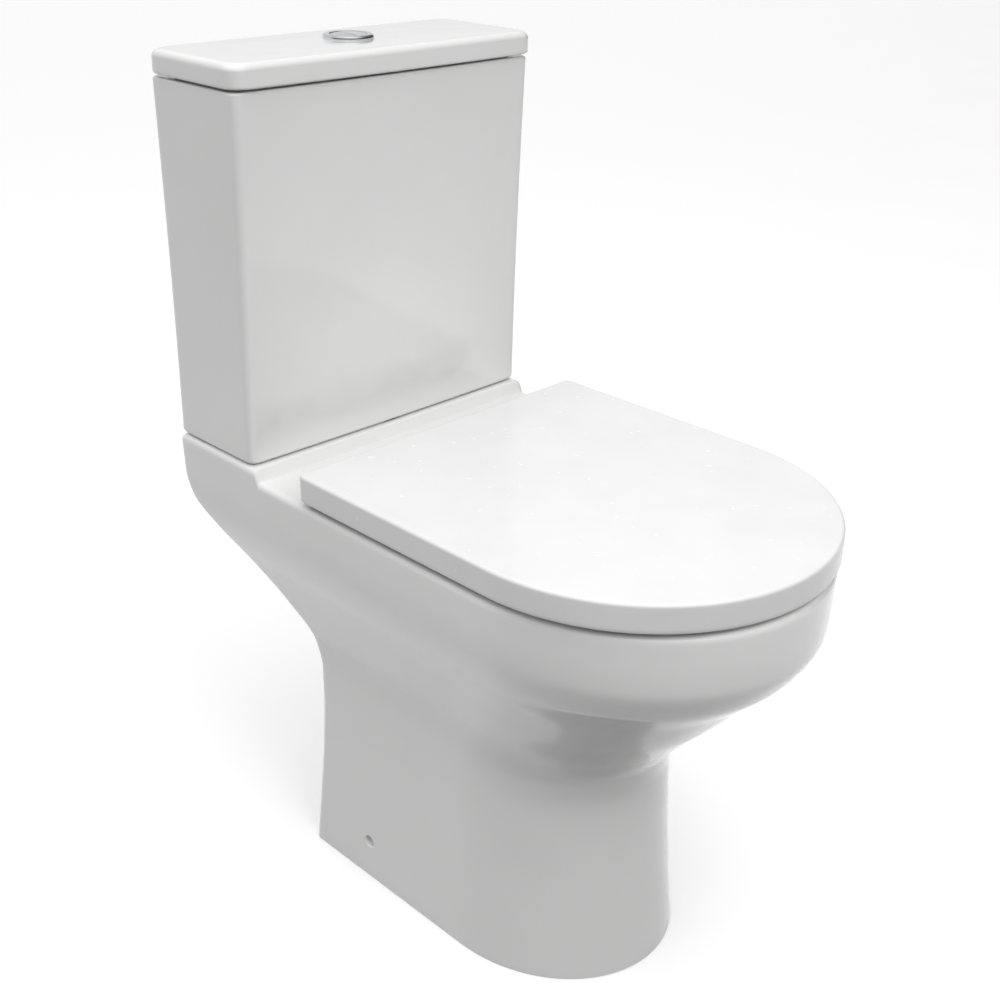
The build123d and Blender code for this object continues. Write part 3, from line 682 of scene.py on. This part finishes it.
def make_button(name, side):
    """A cap cut from a shallow dome by the parting line, with eased edges."""
    low, top = button_low.z, button_high.z
    radius, edge, crown = 17.1, 1.2, 1.0
    parting, half_gap = -3, 0.4
    profile = [(0.01, low), (radius - 0.4, low), (radius, low + 0.4), (radius, top - edge - crown)]
    for k in range(1, 6):
        angle = pi / 2 * k / 5
        profile.append((radius - edge * (1 - cos(angle)), top - edge - crown + edge * sin(angle)))
    for k in range(1, 11):
        profile.append((15.9 - 15.89 * k / 10, top - crown + crown * sin(pi / 2 * k / 10)))
    cap = lathe(name, profile, (0, flush_y, 0), 128)
    bm = bmesh.new()
    bm.from_mesh(cap.data)
    plane = Vector(((parting + side * half_gap) * MM, 0, 0))
    cut = bmesh.ops.bisect_plane(bm, geom=bm.verts[:] + bm.edges[:] + bm.faces[:], plane_co=plane,
                                 plane_no=(-side, 0, 0), clear_outer=True)
    bmesh.ops.holes_fill(bm, edges=[e for e in cut["geom_cut"] if isinstance(e, bmesh.types.BMEdge)])
    bm.to_mesh(cap.data)
    bm.free()
    bevel = cap.modifiers.new("ease", "BEVEL")
    bevel.width = 0.35 * MM
    bevel.segments = 3
    bevel.angle_limit = radians(50)
    shade(cap, 40)
    return cap


def make_spring(node):
    """A compression spring of round wire with closed end turns, as tall as its CAD node."""
    low, high = span(node)
    wire, turns, steps, sides = 0.5, 7, 24, 10
    middle = (low + high) / 2
    radius, height = (high.x - low.x) / 2 - wire, high.z - low.z - 2 * wire
    rings = []
    for k in range(turns * steps + 1):
        t, angle = k / (turns * steps), 2 * pi * k / steps
        outward = Vector((cos(angle), sin(angle), 0))
        spot = Vector((middle.x, middle.y, low.z + wire + height * (t - 0.11 * sin(2 * pi * t))))
        rings.append([spot + outward * (radius + wire * cos(2 * pi * i / sides))
                      + Vector((0, 0, wire * sin(2 * pi * i / sides))) for i in range(sides)])
    return solid(f"{node}_wire", rings)


# ------------------------------------------------------------------ materials
def material(name, colour, roughness, metallic=0.0, coat=0.0, coat_roughness=0.03):
    made = bpy.data.materials.new(name)
    made.use_nodes = True
    tree = made.node_tree
    shader = tree.nodes["Principled BSDF"]
    shader.inputs["Base Color"].default_value = (*colour, 1)
    shader.inputs["Roughness"].default_value = roughness
    shader.inputs["Metallic"].default_value = metallic
    shader.inputs["Coat Weight"].default_value = coat
    shader.inputs["Coat Roughness"].default_value = coat_roughness
    return made, tree, shader


def noise(tree, scale, detail=3.0, distortion=0.0):
    place = tree.nodes.new("ShaderNodeTexCoord")
    texture = tree.nodes.new("ShaderNodeTexNoise")
    texture.inputs["Scale"].default_value = scale
    texture.inputs["Detail"].default_value = detail
    texture.inputs["Distortion"].default_value = distortion
    tree.links.new(place.outputs["Object"], texture.inputs["Vector"])
    return texture.outputs["Fac"]


def spread(tree, value, low, high):
    """Maps a 0 to 1 texture value to a range."""
    node = tree.nodes.new("ShaderNodeMapRange")
    node.inputs["From Min"].default_value = 0.3
    node.inputs["From Max"].default_value = 0.7
    node.inputs["To Min"].default_value = low
    node.inputs["To Max"].default_value = high
    tree.links.new(value, node.inputs["Value"])
    return node.outputs["Result"]


def ramp(tree, value, start, end, low, high):
    """A smooth change from low to high while the value goes from start to end."""
    node = tree.nodes.new("ShaderNodeMapRange")
    node.interpolation_type = "SMOOTHSTEP"
    for name, number in (("From Min", start), ("From Max", end), ("To Min", low), ("To Max", high)):
        node.inputs[name].default_value = number
    tree.links.new(value, node.inputs["Value"])
    return node.outputs["Result"]


def product(tree, first, second):
    node = tree.nodes.new("ShaderNodeMath")
    node.operation = "MULTIPLY"
    tree.links.new(first, node.inputs[0])
    tree.links.new(second, node.inputs[1])
    return node.outputs["Value"]


def mixed(tree, share, value, constant):
    """The value, giving way to a constant as the share goes from 0 to 1."""
    node = tree.nodes.new("ShaderNodeMix")
    node.inputs["B"].default_value = constant
    tree.links.new(share, node.inputs["Factor"])
    tree.links.new(value, node.inputs["A"])
    return node.outputs["Result"]


def tint(tree, value, dark, light):
    node = tree.nodes.new("ShaderNodeMix")
    node.data_type = "RGBA"
    node.inputs["A"].default_value = (*dark, 1)
    node.inputs["B"].default_value = (*light, 1)
    tree.links.new(value, node.inputs["Factor"])
    return node.outputs["Result"]


def bump(tree, shader, layers):
    """Bump from several (height value, distance in metres, strength) layers, one after another."""
    normal = None
    for height, distance, strength in layers:
        node = tree.nodes.new("ShaderNodeBump")
        node.inputs["Distance"].default_value = distance
        node.inputs["Strength"].default_value = strength
        tree.links.new(height, node.inputs["Height"])
        if normal is not None:
            tree.links.new(normal, node.inputs["Normal"])
        normal = node.outputs["Normal"]
    tree.links.new(normal, shader.inputs["Normal"])


def glazed_china(name, dark, light, roughness):
    """White vitreous china: even white body under clear glaze with a faint orange peel."""
    made, tree, shader = material(name, light, roughness, coat=0.6, coat_roughness=0.02)
    shader.inputs["IOR"].default_value = 1.52
    cloud = noise(tree, 9, 4)
    tree.links.new(tint(tree, spread(tree, cloud, 0, 1), dark, light), shader.inputs["Base Color"])
    tree.links.new(spread(tree, noise(tree, 35, 3), roughness * 0.7, roughness * 1.4),
                   shader.inputs["Roughness"])
    bump(tree, shader, [(noise(tree, 14, 2), 0.0010, 0.10), (noise(tree, 260, 2), 0.00006, 0.25)])
    return made


def moulded(name, dark, light, roughness, grain, depth, coat=0.0):
    """Moulded plastic: slight tone change, fine surface grain."""
    made, tree, shader = material(name, light, roughness, coat=coat)
    tree.links.new(tint(tree, spread(tree, noise(tree, 18, 3), 0, 1), dark, light),
                   shader.inputs["Base Color"])
    tree.links.new(spread(tree, noise(tree, 90, 4), roughness * 0.8, roughness * 1.25),
                   shader.inputs["Roughness"])
    bump(tree, shader, [(noise(tree, grain, 3), depth, 0.3)])
    return made


def metal(name, dark, light, roughness, grain):
    """Bare or plated metal: fine scratches and uneven polish."""
    made, tree, shader = material(name, light, roughness, metallic=1.0)
    tree.links.new(tint(tree, spread(tree, noise(tree, 60, 3), 0, 1), dark, light),
                   shader.inputs["Base Color"])
    tree.links.new(spread(tree, noise(tree, grain, 5, 0.6), roughness * 0.6, roughness * 1.6),
                   shader.inputs["Roughness"])
    bump(tree, shader, [(noise(tree, grain * 4, 2), 0.00002, 0.2)])
    return made


def rubber(name, dark, light):
    """Matt rubber: uneven tone and a fine grain."""
    made, tree, shader = material(name, light, 0.62)
    tree.links.new(tint(tree, spread(tree, noise(tree, 120, 5), 0, 1), dark, light),
                   shader.inputs["Base Color"])
    tree.links.new(spread(tree, noise(tree, 300, 4), 0.5, 0.8), shader.inputs["Roughness"])
    bump(tree, shader, [(noise(tree, 900, 2), 0.0001, 0.4)])
    return made


materials = {
    "china": glazed_china("pan_glaze", (0.85, 0.85, 0.845), (0.88, 0.88, 0.875), 0.10),
    "cistern_china": glazed_china("cistern_glaze", (0.85, 0.85, 0.845), (0.88, 0.88, 0.875), 0.12),
    "cover_white": moulded("cover_duroplast", (0.82, 0.82, 0.82), (0.85, 0.85, 0.85), 0.22,
                           420, 0.00003, 0.3),
    "seat_white": moulded("seat_duroplast", (0.80, 0.80, 0.80), (0.84, 0.84, 0.84), 0.20,
                          420, 0.00003, 0.3),
    "button_chrome": metal("polished_chrome", (0.60, 0.61, 0.63), (0.74, 0.75, 0.77), 0.07, 120),
    "steel": metal("stainless_steel", (0.50, 0.50, 0.52), (0.64, 0.64, 0.66), 0.28, 240),
    "brass": metal("turned_brass", (0.56, 0.42, 0.18), (0.72, 0.56, 0.27), 0.24, 240),
    "valve_plastic": moulded("valve_white_plastic", (0.74, 0.75, 0.76), (0.82, 0.83, 0.84), 0.42,
                             500, 0.00008),
    "valve_blue": moulded("valve_blue_plastic", (0.07, 0.20, 0.42), (0.10, 0.27, 0.52), 0.42,
                          500, 0.00008),
    "valve_red": moulded("valve_red_plastic", (0.42, 0.05, 0.04), (0.55, 0.08, 0.06), 0.42,
                         500, 0.00008),
    "nut_plastic": moulded("nylon", (0.66, 0.66, 0.63), (0.75, 0.75, 0.72), 0.5, 500, 0.0001),
    "black_rubber": rubber("black_rubber_finish", (0.012, 0.012, 0.012), (0.03, 0.03, 0.03)),
    "bumper_rubber": rubber("white_rubber_finish", (0.62, 0.62, 0.60), (0.72, 0.72, 0.70)),
}


def dress(piece, slot):
    piece.data.materials.clear()
    piece.data.materials.append(materials[slot])


# ------------------------------------------------------------------ put the pieces in
def place(piece, body, node, slot):
    """A detailed piece that stands for one or more CAD nodes on its body."""
    dress(piece, slot)
    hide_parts(*([node] if isinstance(node, str) else node))
    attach(piece, body)


node_slots = {row["node"]: row["material_slot"] for row in frame["record"]["subparts"]}
for node, piece in frame["nodes"].items():
    for index in range(len(piece.material_slots)):
        piece.material_slots[index].material = materials[node_slots[node]]

place(make_pan(), "root", pan_nodes, "china")
place(make_tank(), "root", "cistern_tank", "cistern_china")
place(make_lid(), "lid", "cistern_lid", "cistern_china")
place(make_cover(), "cover", "seat_cover", "cover_white")
place(make_seat(), "seat", "seat_ring", "seat_white")
place(make_bezel(), "lid", "button_bezel", "button_chrome")
place(make_button("full_flush_cap", 1), "full_button", "full_flush_button", "button_chrome")
place(make_button("half_flush_cap", -1), "half_button", "half_flush_button", "button_chrome")

for button in ("full_flush", "half_flush"):
    spring = make_spring(f"{button}_spring")
    place(spring, "lid", f"{button}_spring", "steel")
    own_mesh(spring)


# ------------------------------------------------------------------ floor, light, camera
def floor_and_light():
    bm = bmesh.new()
    size = 12.0
    corners = [(-size, -size, 0), (size, -size, 0), (size, size, 0), (-size, size, 0)]
    bm.faces.new([bm.verts.new(corner) for corner in corners])
    mesh = bpy.data.meshes.new("floor")
    bm.to_mesh(mesh)
    bm.free()
    floor = new_object("floor", mesh)
    made, tree, shader = material("pale_floor", (0.93, 0.93, 0.93), 0.6)
    shader.inputs["Emission Color"].default_value = (1, 1, 1, 1)
    shader.inputs["Emission Strength"].default_value = 0.25
    tree.links.new(spread(tree, noise(tree, 3, 3), 0.55, 0.7), shader.inputs["Roughness"])
    mesh.materials.append(made)
    floor.visible_diffuse = False           # its bounce is part of the studio's own light below the horizon
    studio()


def studio():
    """A soft studio: bright overhead and behind, dim towards the floor and the right, two soft boxes."""
    world = bpy.data.worlds.new("studio")
    bpy.context.scene.world = world
    world.use_nodes = True
    tree = world.node_tree
    shader = tree.nodes["Background"]
    shader.inputs["Color"].default_value = (1, 1, 1, 1)
    way = tree.nodes.new("ShaderNodeSeparateXYZ")
    tree.links.new(tree.nodes.new("ShaderNodeTexCoord").outputs["Generated"], way.inputs["Vector"])
    x, y, z = (way.outputs[name] for name in "XYZ")
    overhead = ramp(tree, z, 0.0, 0.90, 0.07, 1.22)
    left = ramp(tree, x, -1.0, -0.2, 0.76, 1.0)
    right = ramp(tree, x, 0.0, 0.75, 1.0, 0.25)
    room = product(tree, product(tree, overhead, left), right)
    lit = mixed(tree, ramp(tree, y, 0.2, 0.65, 0, 1), room, 0.76)
    rays = tree.nodes.new("ShaderNodeLightPath")
    tree.links.new(mixed(tree, rays.outputs["Is Camera Ray"], lit, 1.0), shader.inputs["Strength"])
    lamps = [  # name, place, aimed at, width, height, power in watts
        ("overhead", (-0.2, -0.1, 2.6), (0, 0, 0.4), 1.6, 1.6, 8),
        ("front_box", (-0.3, -1.7, 2.0), (0, 0, 0.5), 1.1, 1.1, 17),
        ("left_box", (-1.5, -0.7, 2.3), (0, 0, 0.5), 0.8, 1.2, 5),
    ]
    for name, spot, target, width, length, power in lamps:
        lamp = bpy.data.lights.new(name, "AREA")
        lamp.shape = "RECTANGLE"
        lamp.size, lamp.size_y, lamp.energy = width, length, power
        holder = bpy.data.objects.new(name, lamp)
        holder.location = spot
        holder.visible_glossy = False       # the glaze mirrors the bright room, not the boxes
        aim = Vector(target) - Vector(spot)
        holder.rotation_euler = aim.to_track_quat("-Z", "Y").to_euler()
        bpy.context.scene.collection.objects.link(holder)


def camera():
    """The photograph's view: from the front left, looking down, with a slight roll."""
    azimuth, pitch, roll = radians(-45.4), radians(25.7), radians(1.1)
    distance, aim = 1.4145, Vector((0.0441, 0.0791, 0.400))
    forward = Vector((-sin(azimuth) * cos(pitch), cos(azimuth) * cos(pitch), -sin(pitch)))
    level = Vector((cos(azimuth), sin(azimuth), 0))
    above = level.cross(forward)
    right = cos(roll) * level + sin(roll) * above
    up = -sin(roll) * level + cos(roll) * above
    data = bpy.data.cameras.new("camera")
    data.sensor_width = 36
    data.lens = 1.3971 * 36
    data.clip_end = 100
    holder = bpy.data.objects.new("camera", data)
    turn = Matrix((right, up, -forward)).transposed()
    holder.matrix_world = Matrix.Translation(aim - distance * forward) @ turn.to_4x4()
    bpy.context.scene.collection.objects.link(holder)
    bpy.context.scene.camera = holder


floor_and_light()
camera()
bpy.context.scene.view_settings.view_transform = "Standard"
